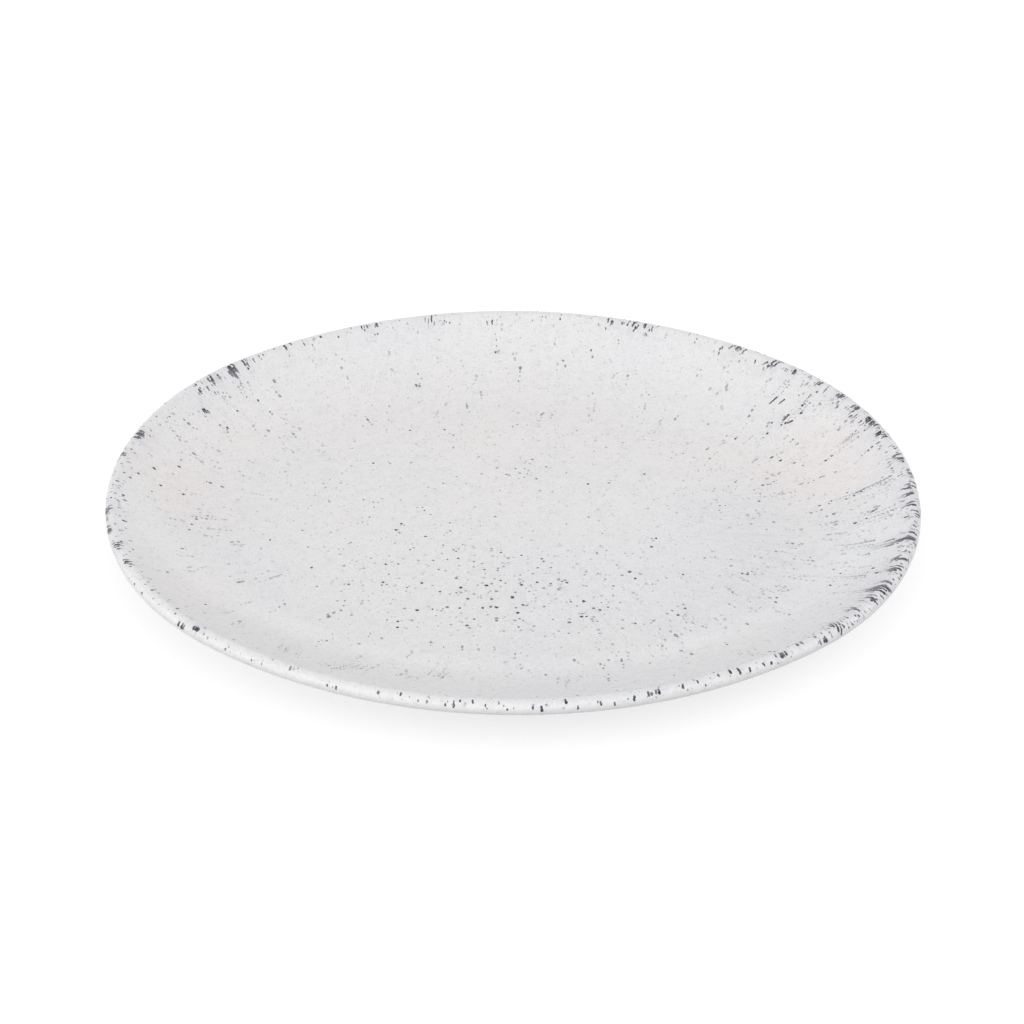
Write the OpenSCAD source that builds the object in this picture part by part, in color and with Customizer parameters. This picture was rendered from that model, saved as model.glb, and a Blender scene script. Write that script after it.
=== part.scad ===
// Oval coupe plate of glazed stoneware.
// The origin is on the table under the middle of the plate. X runs along the oval, Y across it, Z up.
// Every section is drawn once, from the middle of the lip inwards, and is swept round the oval.

/* [Oval] */
// Length over the lip, from tip to tip
plate_length = 317; // [290:1:380]
// Width over the lip
plate_width = 255; // [220:1:280]

/* [Dish] */
// Depth of the flat well below the crest of the lip
well_depth = 18; // [14:0.5:24]
// Thickness of floor, wall and lip, with the glaze on
wall_thickness = 6; // [4.6:0.2:8]
// Slope of the straight wall, in degrees above the table
wall_slope = 32; // [24:1:36]
// Radius of the curve that leads from the well up into the wall
well_curve_radius = 80; // [50:1:95]

/* [Foot ring] */
// Height of the glazed underside of the well above the table
foot_height = 2; // [1.4:0.1:4]
// Width of the bare face that stands on the table
foot_width = 4.5; // [3:0.1:8]
// How far the outer edge of that face lies outside the edge of the well
foot_reach = 4; // [1:0.5:12]
// How much each side of the ring spreads from the table up to its root
foot_flare = 1.2; // [0.4:0.1:2]

/* [Glaze] */
// Thickness of the glaze coats
glaze_thickness = 0.3; // [0.2:0.05:0.5]
// Height above the table at which the glaze was wiped off the foot ring
wipe_height = 0.6; // [0.4:0.1:1]

/* [Hidden] */

// Smoothness of the sweep round the oval
$fn = 180;
// Straight steps in the round lip and in the curve of the well
lip_steps = 30;
curve_steps = 12;

// How far a shape that is cut away reaches past what it cuts
spare = 1;

// The oval is four arcs. Their centres lie at the corners of four 3-4-5 triangles, and the two radii differ by
// the long side, so the arcs are tangent where they meet at every size.
half_length = plate_length / 2;
half_width = plate_width / 2;
triangle_unit = (half_length - half_width) / 2;
end_centre = 3 * triangle_unit;
side_centre = 4 * triangle_unit;
end_radius = half_length - end_centre;
side_radius = half_width + side_centre;
// The seams between the arcs follow the long sides, a whole number of times, until they have left the plate
seam_sides = 1 + ceil((side_radius + spare) / (5 * triangle_unit));
seam_x = seam_sides * end_centre;
seam_y = (seam_sides - 1) * side_centre;

// Section: the lip's centre is at x = 0, and x grows outwards.
lip_radius = wall_thickness / 2;
floor_top = foot_height + wall_thickness;
plate_height = floor_top + well_depth;
lip_z = plate_height - lip_radius;
middle_radius = well_curve_radius + lip_radius;
wall_length = (well_depth - middle_radius * (1 - cos(wall_slope))) / sin(wall_slope);
well_edge = -wall_length * cos(wall_slope) - middle_radius * sin(wall_slope);
curve_z = floor_top + well_curve_radius;
axis_x = -side_radius - spare;

// Half thicknesses of the clay alone and of the clay with its glaze
clay = lip_radius - glaze_thickness;
glazed = lip_radius;

// Edges of the foot ring's bare face, and how far each side leans per millimetre of height
foot_outer = well_edge + foot_reach;
foot_inner = foot_outer - foot_width;
outer_lean = foot_flare / curve_underside_z(foot_outer + foot_flare, clay);
inner_lean = foot_flare / recess_z(clay);

// Points along an arc about a centre, from one angle to another
function arc(centre, radius, from, to, steps) = [
    for (i = [0:steps])
        let (angle = from + (to - from) * i / steps)
            centre + radius * [cos(angle), sin(angle)]
];

// Upper face from the middle of the well to the wall, at a half thickness
function upper_face(half) = concat(
    [[axis_x, floor_top - lip_radius + half]],
    arc([well_edge, curve_z], middle_radius - half, -90, -90 + wall_slope, curve_steps)
);

// The part of the round lip between two directions, at a half thickness
function lip(half, from, to, steps) = arc([0, lip_z], half, from, to, steps);

// Directions in which the wall's upper face and underside look
upper_normal = 90 + wall_slope;
under_normal = wall_slope - 90;
upper_lip_steps = ceil(lip_steps * upper_normal / 180);
under_lip_steps = lip_steps - upper_lip_steps;

// Height of the underside of the well, and of the curve round it at a place, at a half thickness
function recess_z(half) = floor_top - lip_radius - half;
function curve_underside_z(x, half) = curve_z - sqrt(pow(middle_radius + half, 2) - pow(x - well_edge, 2));

// Direction from the curve's centre to where the foot ring's outer side, with a coat on it, meets the
// underside
function foot_root(half, coat) =
    asin((foot_outer + foot_flare + coat - well_edge) / (middle_radius + half)) - 90;

// Underside from the wall down to the foot ring, at a half thickness
function under_face(half, coat) =
    arc([well_edge, curve_z], middle_radius + half, under_normal, foot_root(half, coat), curve_steps);

// Point on the foot ring's outer or inner side, at a height and with a coat on it
function outer_side(z, coat) = [foot_outer + outer_lean * z + coat, z];
function inner_side(z, coat) = [foot_inner - inner_lean * z - coat, z];

function reversed(points) = [for (i = [len(points) - 1:-1:0]) points[i]];

// One of the two ends or two long sides: a section turned about its centre, inside its share of the plan
module oval_part(centre, radius, share) {
    intersection() {
        translate([centre[0], centre[1], 0])
            rotate_extrude()
                intersection() {
                    translate([radius - lip_radius, 0])
                        children();
                    square([radius + spare, plate_height + spare]);
                }
        translate([0, 0, -spare])
            linear_extrude(plate_height + 2 * spare)
                polygon(share);
    }
}

// Sweeps a section round the oval. The two long sides meet at the middle of the plate, so that neither of them
// reaches under the wall of the other.
module round_the_oval() {
    for (side = [-1, 1]) {
        end = [side * end_centre, 0];
        oval_part(end, end_radius, [end, [side * seam_x, -seam_y], [side * seam_x, seam_y]])
            children();
        oval_part(
            [0, -side * side_centre], side_radius,
            [[-end_centre, 0], [end_centre, 0], [seam_x, side * seam_y], [-seam_x, side * seam_y]]
        )
            children();
    }
}

module fired_body() {
    color("tan")
        round_the_oval()
            polygon(concat(
                upper_face(clay),
                lip(clay, upper_normal, 0, upper_lip_steps),
                lip(clay, 0, under_normal, under_lip_steps),
                under_face(clay, 0),
                [outer_side(0, 0), inner_side(0, 0), inner_side(recess_z(clay), 0), [axis_x, recess_z(clay)]]
            ));
}

module upper_glaze() {
    color("whitesmoke")
        round_the_oval()
            polygon(concat(
                upper_face(glazed),
                lip(glazed, upper_normal, 0, upper_lip_steps),
                lip(clay, 0, upper_normal, upper_lip_steps),
                reversed(upper_face(clay))
            ));
}

module underside_glaze() {
    color("ghostwhite")
        round_the_oval()
            polygon(concat(
                lip(glazed, 0, under_normal, under_lip_steps),
                under_face(glazed, glaze_thickness),
                [outer_side(wipe_height, glaze_thickness), outer_side(wipe_height, 0)],
                reversed(under_face(clay, 0)),
                lip(clay, under_normal, 0, under_lip_steps)
            ));
}

module recess_glaze() {
    color("ghostwhite")
        round_the_oval()
            polygon([
                [axis_x, recess_z(clay)],
                inner_side(recess_z(clay), 0),
                inner_side(wipe_height, 0),
                inner_side(wipe_height, glaze_thickness),
                inner_side(recess_z(glazed), glaze_thickness),
                [axis_x, recess_z(glazed)]
            ]);
}

fired_body();
upper_glaze();
underside_glaze();
recess_glaze();
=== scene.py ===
# %% [markdown]
# # A speckled oval plate
# The real thing is a stoneware coupe plate: a fired clay body and three coats of glaze. The CAD frame
# holds those four pieces at their real size. This lesson adds what a solid can't show: coats that shine
# without facets, specks of pigment that the melting glaze drew down the wall, a bare gritty foot, and a
# soft studio.

# %% Load the frame
import math
import random

import bpy
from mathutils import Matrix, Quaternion, Vector
from mathutils.kdtree import KDTree


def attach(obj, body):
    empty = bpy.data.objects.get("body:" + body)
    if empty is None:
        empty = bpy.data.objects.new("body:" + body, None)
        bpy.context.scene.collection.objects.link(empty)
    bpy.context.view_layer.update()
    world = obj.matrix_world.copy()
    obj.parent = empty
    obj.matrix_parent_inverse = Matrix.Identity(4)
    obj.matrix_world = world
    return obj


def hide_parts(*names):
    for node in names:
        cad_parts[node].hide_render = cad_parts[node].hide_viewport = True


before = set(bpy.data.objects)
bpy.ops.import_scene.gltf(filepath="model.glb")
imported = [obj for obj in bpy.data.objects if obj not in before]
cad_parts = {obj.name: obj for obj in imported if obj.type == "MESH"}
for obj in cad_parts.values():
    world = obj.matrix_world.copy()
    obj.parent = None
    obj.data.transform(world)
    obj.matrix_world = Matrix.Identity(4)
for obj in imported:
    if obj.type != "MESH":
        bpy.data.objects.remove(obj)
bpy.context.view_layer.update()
print("pieces in the frame:", ", ".join(sorted(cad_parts)))

# %% [markdown]
# The plate follows a rule, so a few sizes give its whole shape. Its outline is an oval of four arcs
# whose centres lie at the corners of 3-4-5 triangles, and one section runs round it: a flat well, a
# curve, a straight wall and a round lip. These are the sizes that the construction uses, in metres, and
# the rest is worked out from them.

# %% Sizes of the plate
MM = 0.001
PLATE_LENGTH = 317 * MM
PLATE_WIDTH = 255 * MM
WELL_DEPTH = 18 * MM
WALL_THICKNESS = 6 * MM
WALL_SLOPE = math.radians(32)
WELL_CURVE = 80 * MM
FOOT_HEIGHT = 2 * MM
FOOT_WIDTH = 4.5 * MM
FOOT_REACH = 4 * MM
FOOT_FLARE = 1.2 * MM
GLAZE_THICKNESS = 0.3 * MM
WIPE_HEIGHT = 0.6 * MM
QUARTER = math.pi / 2

triangle_unit = (PLATE_LENGTH - PLATE_WIDTH) / 4
end_centre = 3 * triangle_unit
side_centre = 4 * triangle_unit
end_radius = PLATE_LENGTH / 2 - end_centre
side_radius = PLATE_WIDTH / 2 + side_centre

lip_radius = WALL_THICKNESS / 2
clay_radius = lip_radius - GLAZE_THICKNESS
floor_top = FOOT_HEIGHT + WALL_THICKNESS
lip_z = floor_top + WELL_DEPTH - lip_radius
middle_radius = WELL_CURVE + lip_radius
wall_length = (WELL_DEPTH - middle_radius * (1 - math.cos(WALL_SLOPE))) / math.sin(WALL_SLOPE)
well_edge = -wall_length * math.cos(WALL_SLOPE) - middle_radius * math.sin(WALL_SLOPE)
curve_z = floor_top + WELL_CURVE
print("well edge lies %.1f mm inside the middle of the lip" % (-well_edge / MM))

# %% [markdown]
# A point of the rim is named by its turn: the direction in which the outside of the rim looks there,
# with 0 to the right and 90 degrees to the back. With a four-arc oval that direction gives the place at
# once.

# %% The line round the middle of the lip
RIM_STEPS = 360


def lip_line(turn):
    """The middle of the lip, and the outward direction, at a turn in radians."""
    out = Vector((math.cos(turn), math.sin(turn), 0))
    # The arcs meet where the outward direction is that of the 3-4-5 triangle's longest side.
    if abs(out.x) * 4 >= abs(out.y) * 3:
        centre = Vector((math.copysign(end_centre, out.x), 0, 0))
        radius = end_radius
    else:
        centre = Vector((0, -math.copysign(side_centre, out.y), 0))
        radius = side_radius
    return centre + (radius - lip_radius) * out, out


rim_places = [lip_line(2 * math.pi * (step % RIM_STEPS) / RIM_STEPS) for step in range(RIM_STEPS + 1)]
print("rim of %d steps, %.0f mm long" % (RIM_STEPS, 2 * (rim_places[0][0].x + lip_radius) / MM))

# %% [markdown]
# Each coat is a thin closed skin, so its section runs along the outer face and comes back along the
# clay. A section's point has three numbers: its distance out from the middle of the lip, its height,
# and how far its ring is drawn in towards the middle of the plate. The last one lets the flat well
# close without crossing itself. The outer faces lie a hair under those of the CAD nodes, so that the
# pigment on them stays inside the plate's box.

# %% Sections of the coats
DRAWN_UNDER = 0.11 * MM
FLOOR_RINGS = 10
CURVE_STEPS = 28
LIP_STEPS = 36


def arc(centre, radius, start, stop, steps):
    """Points on an arc of a section between two angles, with both ends."""
    x, z = centre
    angles = [start + (stop - start) * step / steps for step in range(steps + 1)]
    return [(x + radius * math.cos(angle), z + radius * math.sin(angle), 0) for angle in angles]


def disc(edge, height):
    """Points from the middle of the plate out towards a flat ring's edge."""
    return [(edge, height, 1 - ring / FLOOR_RINGS) for ring in range(FLOOR_RINGS)]


def dish_face(half):
    """The dish from the middle of the well out to the outermost line of the lip, at a half thickness."""
    well = disc(well_edge, floor_top - lip_radius + half)
    curve = arc((well_edge, curve_z), middle_radius - half, -QUARTER, WALL_SLOPE - QUARTER, CURVE_STEPS)
    lip = arc((0, lip_z), half, WALL_SLOPE + QUARTER, 0, LIP_STEPS)
    return well + curve + lip


foot_outer = well_edge + FOOT_REACH
foot_inner = foot_outer - FOOT_WIDTH
root_x = foot_outer + FOOT_FLARE
root_z = curve_z - math.sqrt((middle_radius + clay_radius) ** 2 - (root_x - well_edge) ** 2)
clay_recess_z = floor_top - lip_radius - clay_radius
outer_lean = FOOT_FLARE / root_z
inner_lean = FOOT_FLARE / clay_recess_z


def outer_face(half, coat):
    """The outside from the wiped foot up to the outermost line of the lip, at a half thickness."""
    root = math.asin((root_x + coat - well_edge) / (middle_radius + half)) - QUARTER
    foot = [(foot_outer + outer_lean * WIPE_HEIGHT + coat, WIPE_HEIGHT, 0)]
    curve = arc((well_edge, curve_z), middle_radius + half, root, WALL_SLOPE - QUARTER, CURVE_STEPS)
    lip = arc((0, lip_z), half, WALL_SLOPE - QUARTER, 0, LIP_STEPS)
    return foot + curve + lip


def recess_face(height, coat):
    """The underside of the well from its middle out and down to the wiped line inside the foot."""
    corner = foot_inner - inner_lean * height - coat
    wiped = foot_inner - inner_lean * WIPE_HEIGHT - coat
    return disc(corner, height) + [(corner, height, 0), (wiped, WIPE_HEIGHT, 0)]


coat_thickness = GLAZE_THICKNESS - DRAWN_UNDER
coat_radius = lip_radius - DRAWN_UNDER
upper_section = dish_face(clay_radius) + dish_face(coat_radius)[::-1]
underside_section = outer_face(coat_radius, coat_thickness) + outer_face(clay_radius, 0)[::-1]
underside_section.append(underside_section[0])
recess_section = recess_face(clay_recess_z - coat_thickness, coat_thickness)
recess_section += recess_face(clay_recess_z, 0)[::-1]
print("section points:", len(upper_section), len(underside_section), len(recess_section))

# %% [markdown]
# Node trees are long to write by hand, so a small helper adds a node, feeds its sockets with numbers or
# with other nodes' sockets, and joins them. The same helper serves the shapes here and the finishes
# further down.

# %% A bench for node trees


class Bench:
    """A node tree in the making."""

    def __init__(self, tree):
        self.tree = tree

    def add(self, kind, feed=None, **settings):
        """A new node, with its settings made and its sockets fed by name or number."""
        node = self.tree.nodes.new(kind)
        for name, value in settings.items():
            setattr(node, name, value)
        for socket, value in (feed or {}).items():
            self.feed(node.inputs[socket], value)
        return node

    def feed(self, socket, value):
        """Joins a socket to another one, or sets its number."""
        if isinstance(value, bpy.types.NodeSocket):
            self.tree.links.new(value, socket)
        else:
            socket.default_value = value

    def math(self, operation, *values):
        """The result of a sum on plain numbers."""
        return self.add("ShaderNodeMath", dict(enumerate(values)), operation=operation).outputs[0]

    def vector(self, operation, *values):
        """The result of a sum on vectors."""
        return self.add("ShaderNodeVectorMath", dict(enumerate(values)), operation=operation).outputs[0]

    def scaled(self, vector, size):
        """A vector times a number."""
        return self.add("ShaderNodeVectorMath", {0: vector, "Scale": size}, operation="SCALE").outputs[0]

    def parts(self, vector):
        """The three parts of a vector."""
        return self.add("ShaderNodeSeparateXYZ", {0: vector}).outputs


print("bench ready")

# %% [markdown]
# A modifier could stay on its object and make the mesh anew for each picture. Here every tree runs
# once: its result is kept as a plain mesh, and the modifier goes. A tree that needs places to follow
# reads them from a guide, a mesh of loose points that is gone again before the end.

# %% Pieces made by a tree


def new_geometry_tree(name, sockets):
    """A tree with named inputs, and the bench that it is made on."""
    tree = bpy.data.node_groups.new(name, "GeometryNodeTree")
    tree.interface.new_socket("Geometry", in_out="INPUT", socket_type="NodeSocketGeometry")
    for socket_name, kind in sockets:
        tree.interface.new_socket(socket_name, in_out="INPUT", socket_type=kind)
    tree.interface.new_socket("Geometry", in_out="OUTPUT", socket_type="NodeSocketGeometry")
    return tree, Bench(tree)


def made_by_nodes(name, start, tree, values):
    """A plain mesh object of what a tree makes from a starting mesh, with the tree's inputs set by name."""
    maker = bpy.data.objects.new(name + "_maker", start)
    bpy.context.scene.collection.objects.link(maker)
    modifier = maker.modifiers.new("maker", "NODES")
    modifier.node_group = tree
    for item in tree.interface.items_tree:
        if item.in_out == "INPUT" and item.name in values:
            modifier[item.identifier] = values[item.name]
    graph = bpy.context.evaluated_depsgraph_get()
    mesh = bpy.data.meshes.new_from_object(maker.evaluated_get(graph), depsgraph=graph)
    maker.modifiers.remove(modifier)
    bpy.data.objects.remove(maker)
    mesh.name = name
    piece = bpy.data.objects.new(name, mesh)
    bpy.context.scene.collection.objects.link(piece)
    print("%s: %d faces" % (name, len(mesh.polygons)))
    return piece


def guide(name, points, fields):
    """A hidden mesh of loose points that a tree reads, with a named vector for each point in each field."""
    mesh = bpy.data.meshes.new(name)
    mesh.from_pydata(points, [], [])
    for field, vectors in fields.items():
        attribute = mesh.attributes.new(field, "FLOAT_VECTOR", "POINT")
        attribute.data.foreach_set("vector", [number for vector in vectors for number in vector])
    return mesh


def guide_object(name, points, fields):
    """A guide as an object, for a tree that names it."""
    holder = bpy.data.objects.new(name, guide(name, points, fields))
    bpy.context.scene.collection.objects.link(holder)
    return holder


def end_tree(work, geometry, finish):
    """Ends a tree with smooth shading, a real mesh and a finish."""
    smooth = work.add("GeometryNodeSetShadeSmooth", {"Geometry": geometry}).outputs[0]
    real = work.add("GeometryNodeRealizeInstances", {"Geometry": smooth}).outputs[0]
    finished = work.add("GeometryNodeSetMaterial", {"Geometry": real, "Material": finish}).outputs[0]
    work.add("NodeGroupOutput", {0: finished})


print("helpers for trees ready")

# %% [markdown]
# The coats could be cut from lathe shapes, but an oval has no single axis. A tree sweeps them instead:
# it takes a grid, reads one way across it as steps round the rim and the other as points of a section,
# and moves each corner to its place. It also notes at each corner which way the rim looks and how far
# the lip is, so that a finish can run down the wall.

# %% A tree that sweeps a coat round the oval
MERGE_DISTANCE = 1e-6

sweep, bench = new_geometry_tree("sweep_a_coat_round_the_oval", (
    ("Rim", "NodeSocketObject"),
    ("Section", "NodeSocketObject"),
    ("Rim points", "NodeSocketInt"),
    ("Section points", "NodeSocketInt"),
    ("Glaze", "NodeSocketMaterial"),
))
given = bench.add("NodeGroupInput").outputs
grid = bench.add("GeometryNodeMeshGrid", {
    "Size X": 1, "Size Y": 1, "Vertices X": given["Rim points"], "Vertices Y": given["Section points"],
})
corner = bench.parts(bench.add("GeometryNodeInputPosition").outputs[0])


def grid_step(place, count):
    """The number of a corner along one way of the grid, which runs from minus a half to a half."""
    last = bench.math("SUBTRACT", count, 1)
    return bench.math("ROUND", bench.math("MULTIPLY", bench.math("ADD", place, 0.5), last))


def read_guide(holder, field, index):
    """A vector that a guide holds at one of its points: the point's place, or a named field."""
    geometry = bench.add("GeometryNodeObjectInfo", {"Object": holder}).outputs["Geometry"]
    if field:
        named = bench.add("GeometryNodeInputNamedAttribute", {"Name": field}, data_type="FLOAT_VECTOR")
        value = named.outputs[0]
    else:
        value = bench.add("GeometryNodeInputPosition").outputs[0]
    sample = bench.add("GeometryNodeSampleIndex", {"Geometry": geometry, "Value": value, "Index": index},
                       data_type="FLOAT_VECTOR", domain="POINT")
    return sample.outputs[0]


round_step = grid_step(corner[0], given["Rim points"])
section_step = grid_step(corner[1], given["Section points"])
lip_place = read_guide(given["Rim"], None, round_step)
outward = read_guide(given["Rim"], "outward", round_step)
section_place = bench.parts(read_guide(given["Section"], None, section_step))
from_lip = bench.parts(read_guide(given["Section"], "from_lip", section_step))
out_parts = bench.parts(outward)

ring = bench.vector("ADD", lip_place, bench.scaled(outward, section_place[0]))
drawn_in = bench.scaled(ring, bench.math("SUBTRACT", 1, section_place[2]))
height = bench.add("ShaderNodeCombineXYZ", {2: section_place[1]}).outputs[0]
rim_way = bench.add("ShaderNodeCombineXYZ", {0: out_parts[0], 1: out_parts[1], 2: from_lip[0]}).outputs[0]

noted = bench.add("GeometryNodeStoreNamedAttribute", {
    "Geometry": grid.outputs["Mesh"], "Name": "rim_way", "Value": rim_way,
}, data_type="FLOAT_VECTOR", domain="POINT").outputs[0]
placed = bench.add("GeometryNodeSetPosition", {
    "Geometry": noted, "Position": bench.vector("ADD", drawn_in, height),
}).outputs[0]
closed = bench.add("GeometryNodeMergeByDistance", {
    "Geometry": placed, "Distance": MERGE_DISTANCE,
}).outputs[0]
end_tree(bench, closed, given["Glaze"])
print("sweep tree of %d nodes" % len(sweep.nodes))

# %% [markdown]
# A finish is a small tree of nodes that feeds one shader. These helpers make the shader, soft noise,
# ramps, blends, round grains and bumps, so that each finish further down reads as a list of what the
# real surface has.

# %% Helpers for the finishes
GRAIN_FADE_OUT = 0.3
GRAIN_FADE_IN = 0.2



def new_finish(name):
    """A material, the bench of its tree, its shader and its object coordinates."""
    finish = bpy.data.materials.new(name)
    finish.use_nodes = True
    finish.node_tree.nodes.clear()
    work = Bench(finish.node_tree)
    shader = work.add("ShaderNodeBsdfPrincipled")
    work.add("ShaderNodeOutputMaterial", {"Surface": shader.outputs[0]})
    place = work.add("ShaderNodeTexCoord").outputs["Object"]
    return finish, work, shader, place


def noise(work, place, size, detail=2.0, roughness=0.5):
    """Soft noise whose blotches are about a size across, from 0 to 1."""
    node = work.add("ShaderNodeTexNoise", {
        "Vector": place, "Scale": 1 / size, "Detail": detail, "Roughness": roughness,
    })
    return node.outputs[0]


def ramp(work, value, low, high, bottom=0.0, top=1.0):
    """A value between two limits, spread out smoothly from a bottom to a top."""
    node = work.add("ShaderNodeMapRange", {0: value, 1: low, 2: high, 3: bottom, 4: top},
                    interpolation_type="SMOOTHSTEP")
    return node.outputs[0]


def blend(work, share, first, second):
    """A colour between two."""
    node = work.add("ShaderNodeMix", data_type="RGBA")
    for socket, value in ((0, share), (6, first), (7, second)):
        work.feed(node.inputs[socket], value)
    return node.outputs[2]


def grains(work, place, spacing, size, share):
    """1 on small round grains that lie about a spacing apart, of which only a share is there."""
    cell = work.add("ShaderNodeTexVoronoi", {"Vector": place, "Scale": 1 / spacing})
    chance = work.parts(cell.outputs["Color"])
    radius = work.math("MULTIPLY", chance[1], size / spacing)
    depth = work.math("SUBTRACT", radius, cell.outputs["Distance"])
    inside = ramp(work, depth, -GRAIN_FADE_OUT * size / spacing, GRAIN_FADE_IN * size / spacing)
    return work.math("MULTIPLY", inside, work.math("LESS_THAN", chance[0], share))


def bumped(work, shader, layers):
    """Gives a shader bumps from several heights, each with its depth in metres."""
    normal = None
    for value, depth in layers:
        node = work.add("ShaderNodeBump", {"Height": value, "Distance": depth, "Strength": 1.0})
        if normal:
            work.feed(node.inputs["Normal"], normal)
        normal = node.outputs[0]
    work.feed(shader.inputs["Normal"], normal)


print("finish helpers ready")

# %% [markdown]
# The glaze is a satin off-white. Close up it is never one colour: the coat is a little thicker here and
# thinner there, the clay warms it in soft patches, and iron grains lie deep in it as faint grey points.
# A finish made of noise at each of those sizes gives that. Object coordinates are used for what lies in
# the glaze at random, and the rim's own coordinates for the faint streaks that run down the wall.

# %% The two glazes
GLAZE_WHITE = (0.765, 0.755, 0.755, 1)
GLAZE_WARM = (0.775, 0.740, 0.728, 1)
GLAZE_COOL = (0.745, 0.746, 0.758, 1)
# This lavender is also the colour of the painted shade at the foot of the wall.
PIGMENT_HAZE_AND_SHADE = (0.40, 0.40, 0.47, 1)
DEEP_GRAIN = (0.36, 0.36, 0.40, 1)
GLAZE_IOR = 1.5
GLAZE_ROUGHNESS = (0.24, 0.34)

# A range says where in a noise the effect starts and where it is full.
MIDDLE_RANGE = (0.3, 0.7)
CLOUD_SIZE = 45 * MM
CLOUD_RANGE = (0.40, 0.70)
PATCH_SIZE = 18 * MM
PATCH_RANGE = (0.25, 0.65)
LEAST_WARMTH = 0.35
MOTTLE_SIZE = 3.2 * MM
MOTTLE_RANGE = (0.4, 0.75)
MOTTLE_SHARE = 0.10
TOOTH_SIZE = 0.9 * MM
TOOTH_RANGE = (0.45, 0.8)
TOOTH_SHARE = 0.27
WAVE_SIZE = 60 * MM
WAVE_DEPTH = 0.4 * MM
PEEL_SIZE = 2.6 * MM
PEEL_DEPTH = 0.012 * MM

# How fine the streaks are across the rim's direction, twice, and along a metre down the wall.
STREAK_FINENESS = (60.0, 60.0, 45.0)
STREAK_RANGE = (0.35, 0.7)
LEAST_HAZE_AND_SHADE = 0.25
HAZE_AND_SHADE_SHARE = 0.30

# Grains have a spacing, a size and the share of places that hold one. How dark they are comes after them.
FINE_GRAINS = (1.7 * MM, 0.45 * MM, 0.6)
FINE_SHARE = 0.4
COARSE_GRAINS = (3.4 * MM, 0.8 * MM, 0.4)
COARSE_SHARE = 0.22


def with_pigment(work, place, colour):
    """A glaze's colour with the pigment's haze round crowded specks, painted shade where the wall curves
    into the well, and grains deep in the coat.
    """
    way = work.add("ShaderNodeAttribute", attribute_name="rim_way").outputs["Vector"]
    streaks = noise(work, work.vector("MULTIPLY", way, STREAK_FINENESS), 1.0)
    # The count read here holds painted shade as well as the pigment's haze.
    crowd_and_shade = work.add("ShaderNodeAttribute", attribute_name="haze_and_shade").outputs["Fac"]
    haze_and_shade = work.math("MULTIPLY", crowd_and_shade, ramp(work, streaks, *STREAK_RANGE, LEAST_HAZE_AND_SHADE))
    colour = blend(work, work.math("MULTIPLY", haze_and_shade, HAZE_AND_SHADE_SHARE), colour, PIGMENT_HAZE_AND_SHADE)
    for kind, share in ((FINE_GRAINS, FINE_SHARE), (COARSE_GRAINS, COARSE_SHARE)):
        grain = work.math("MULTIPLY", grains(work, place, *kind), share)
        colour = blend(work, grain, colour, DEEP_GRAIN)
    return colour


def glaze(name, speckled):
    """The off-white glaze, with warm patches, the pigment's haze with some painted shade, and deep grains
    where it is speckled.
    """
    finish, work, shader, place = new_finish(name)
    clouds = noise(work, place, CLOUD_SIZE, detail=3.0)
    patches = noise(work, place, PATCH_SIZE)
    mottle = noise(work, place, MOTTLE_SIZE, detail=3.0)
    tooth = noise(work, place, TOOTH_SIZE)
    colour = blend(work, ramp(work, clouds, *CLOUD_RANGE), GLAZE_WHITE, GLAZE_COOL)
    if speckled:
        warmth = work.add("ShaderNodeAttribute", attribute_name="warmth").outputs["Fac"]
        warm = work.math("MULTIPLY", warmth, ramp(work, patches, *PATCH_RANGE, LEAST_WARMTH))
        colour = blend(work, warm, colour, GLAZE_WARM)
    colour = blend(work, ramp(work, mottle, *MOTTLE_RANGE, 0.0, MOTTLE_SHARE), colour, DEEP_GRAIN)
    colour = blend(work, ramp(work, tooth, *TOOTH_RANGE, 0.0, TOOTH_SHARE), colour, DEEP_GRAIN)
    if speckled:
        colour = with_pigment(work, place, colour)
    work.feed(shader.inputs["Base Color"], colour)

    work.feed(shader.inputs["Roughness"], ramp(work, patches, *MIDDLE_RANGE, *GLAZE_ROUGHNESS))
    shader.inputs["IOR"].default_value = GLAZE_IOR
    waves = noise(work, place, WAVE_SIZE, detail=0.0)
    peel = noise(work, place, PEEL_SIZE, detail=1.0)
    bumped(work, shader, ((waves, WAVE_DEPTH), (peel, PEEL_DEPTH)))
    return finish


speckled_glaze = glaze("speckled_glaze", True)
plain_glaze = glaze("plain_glaze", False)
print("glazes:", speckled_glaze.name, plain_glaze.name)

# %% [markdown]
# Now the tree can sweep the three coats. Each one takes the place of its CAD node, which is about the
# same size but shows the facets of its round faces. The fired body stays as it is, because only its
# foot ring shows.

# %% Sweep the three coats
SMOOTH_LIMIT = math.radians(40)


def lengths_from_lip(section):
    """How far each point of a section is from the lip's outermost line, near enough for a finish."""
    lengths = [math.hypot(x - lip_radius, z - lip_z) + gather * abs(well_edge) for x, z, gather in section]
    return [(length, 0, 0) for length in lengths]


rim_line = [place for place, out in rim_places]
rim_outward = [out for place, out in rim_places]
rim_guide = guide_object("rim_guide", rim_line, {"outward": rim_outward})


def sweep_coat(name, section, finish):
    """A coat swept round the oval, with its corners kept sharp."""
    section_guide = guide_object(name + "_guide", section, {"from_lip": lengths_from_lip(section)})
    coat = made_by_nodes(name, bpy.data.meshes.new(name + "_start"), sweep, {
        "Rim": rim_guide, "Section": section_guide, "Rim points": RIM_STEPS + 1,
        "Section points": len(section), "Glaze": finish,
    })
    bpy.data.objects.remove(section_guide)
    coat.data.set_sharp_from_angle(angle=SMOOTH_LIMIT)
    return coat


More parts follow.
